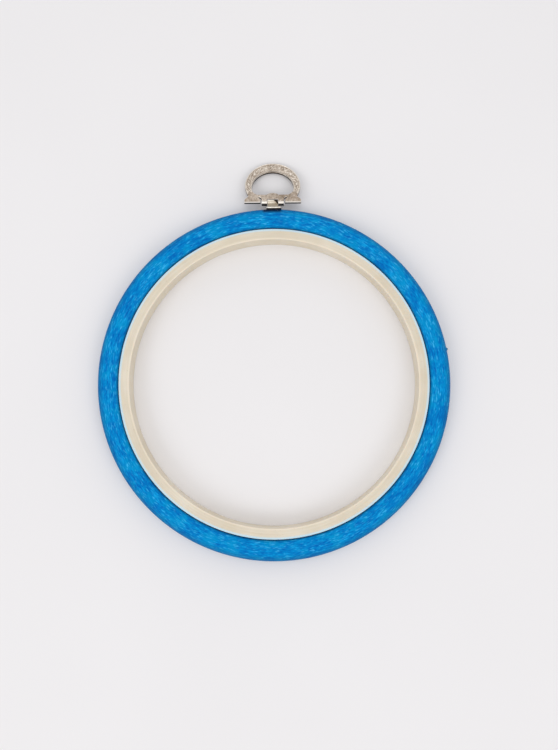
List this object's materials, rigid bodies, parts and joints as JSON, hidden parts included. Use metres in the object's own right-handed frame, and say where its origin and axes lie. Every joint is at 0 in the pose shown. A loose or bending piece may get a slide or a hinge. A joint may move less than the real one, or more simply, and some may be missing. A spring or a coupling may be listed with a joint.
{
  "type": "embroidery hoop",
  "caption": "Embroidery hoop and display frame: a flexible outer ring pressed over a rigid inner ring, with a hinged half-moon metal hanger at the top.",
  "frame": {"origin": "on the axis of the rings, at the back edge of the inner ring's bore, in the plane that the hoop rests on", "axes": "+Z along the axis of the rings, from the back to the front; +Y from the axis to the hanger at the top; +X to the right as seen from the front"},
  "size_m": [0.152, 0.1744, 0.01],
  "materials": {
    "cream_plastic": "satin",
    "blue_vinyl": "satin",
    "nickel": "satin"
  },
  "bodies": {
    "inner": {"inner_ring": "cream_plastic"},
    "outer": {"outer_ring": "blue_vinyl", "eye_strap": "nickel", "base_washer": "nickel"},
    "hanging_loop": {"hanger": "nickel", "hinge_pin": "nickel"}
  },
  "joints": [
    {"name": "outer_ring_lift", "type": "slide", "parent": "inner", "child": "outer", "axis": [0, 0, 1], "range_m": [0, 0.02]},
    {"name": "hanger_swing", "type": "hinge", "parent": "outer", "child": "hanging_loop", "pos_m": [0, 0.07919, 0.005], "axis": [1, 0, 0], "range_deg": [-112, 107]}
  ]
}
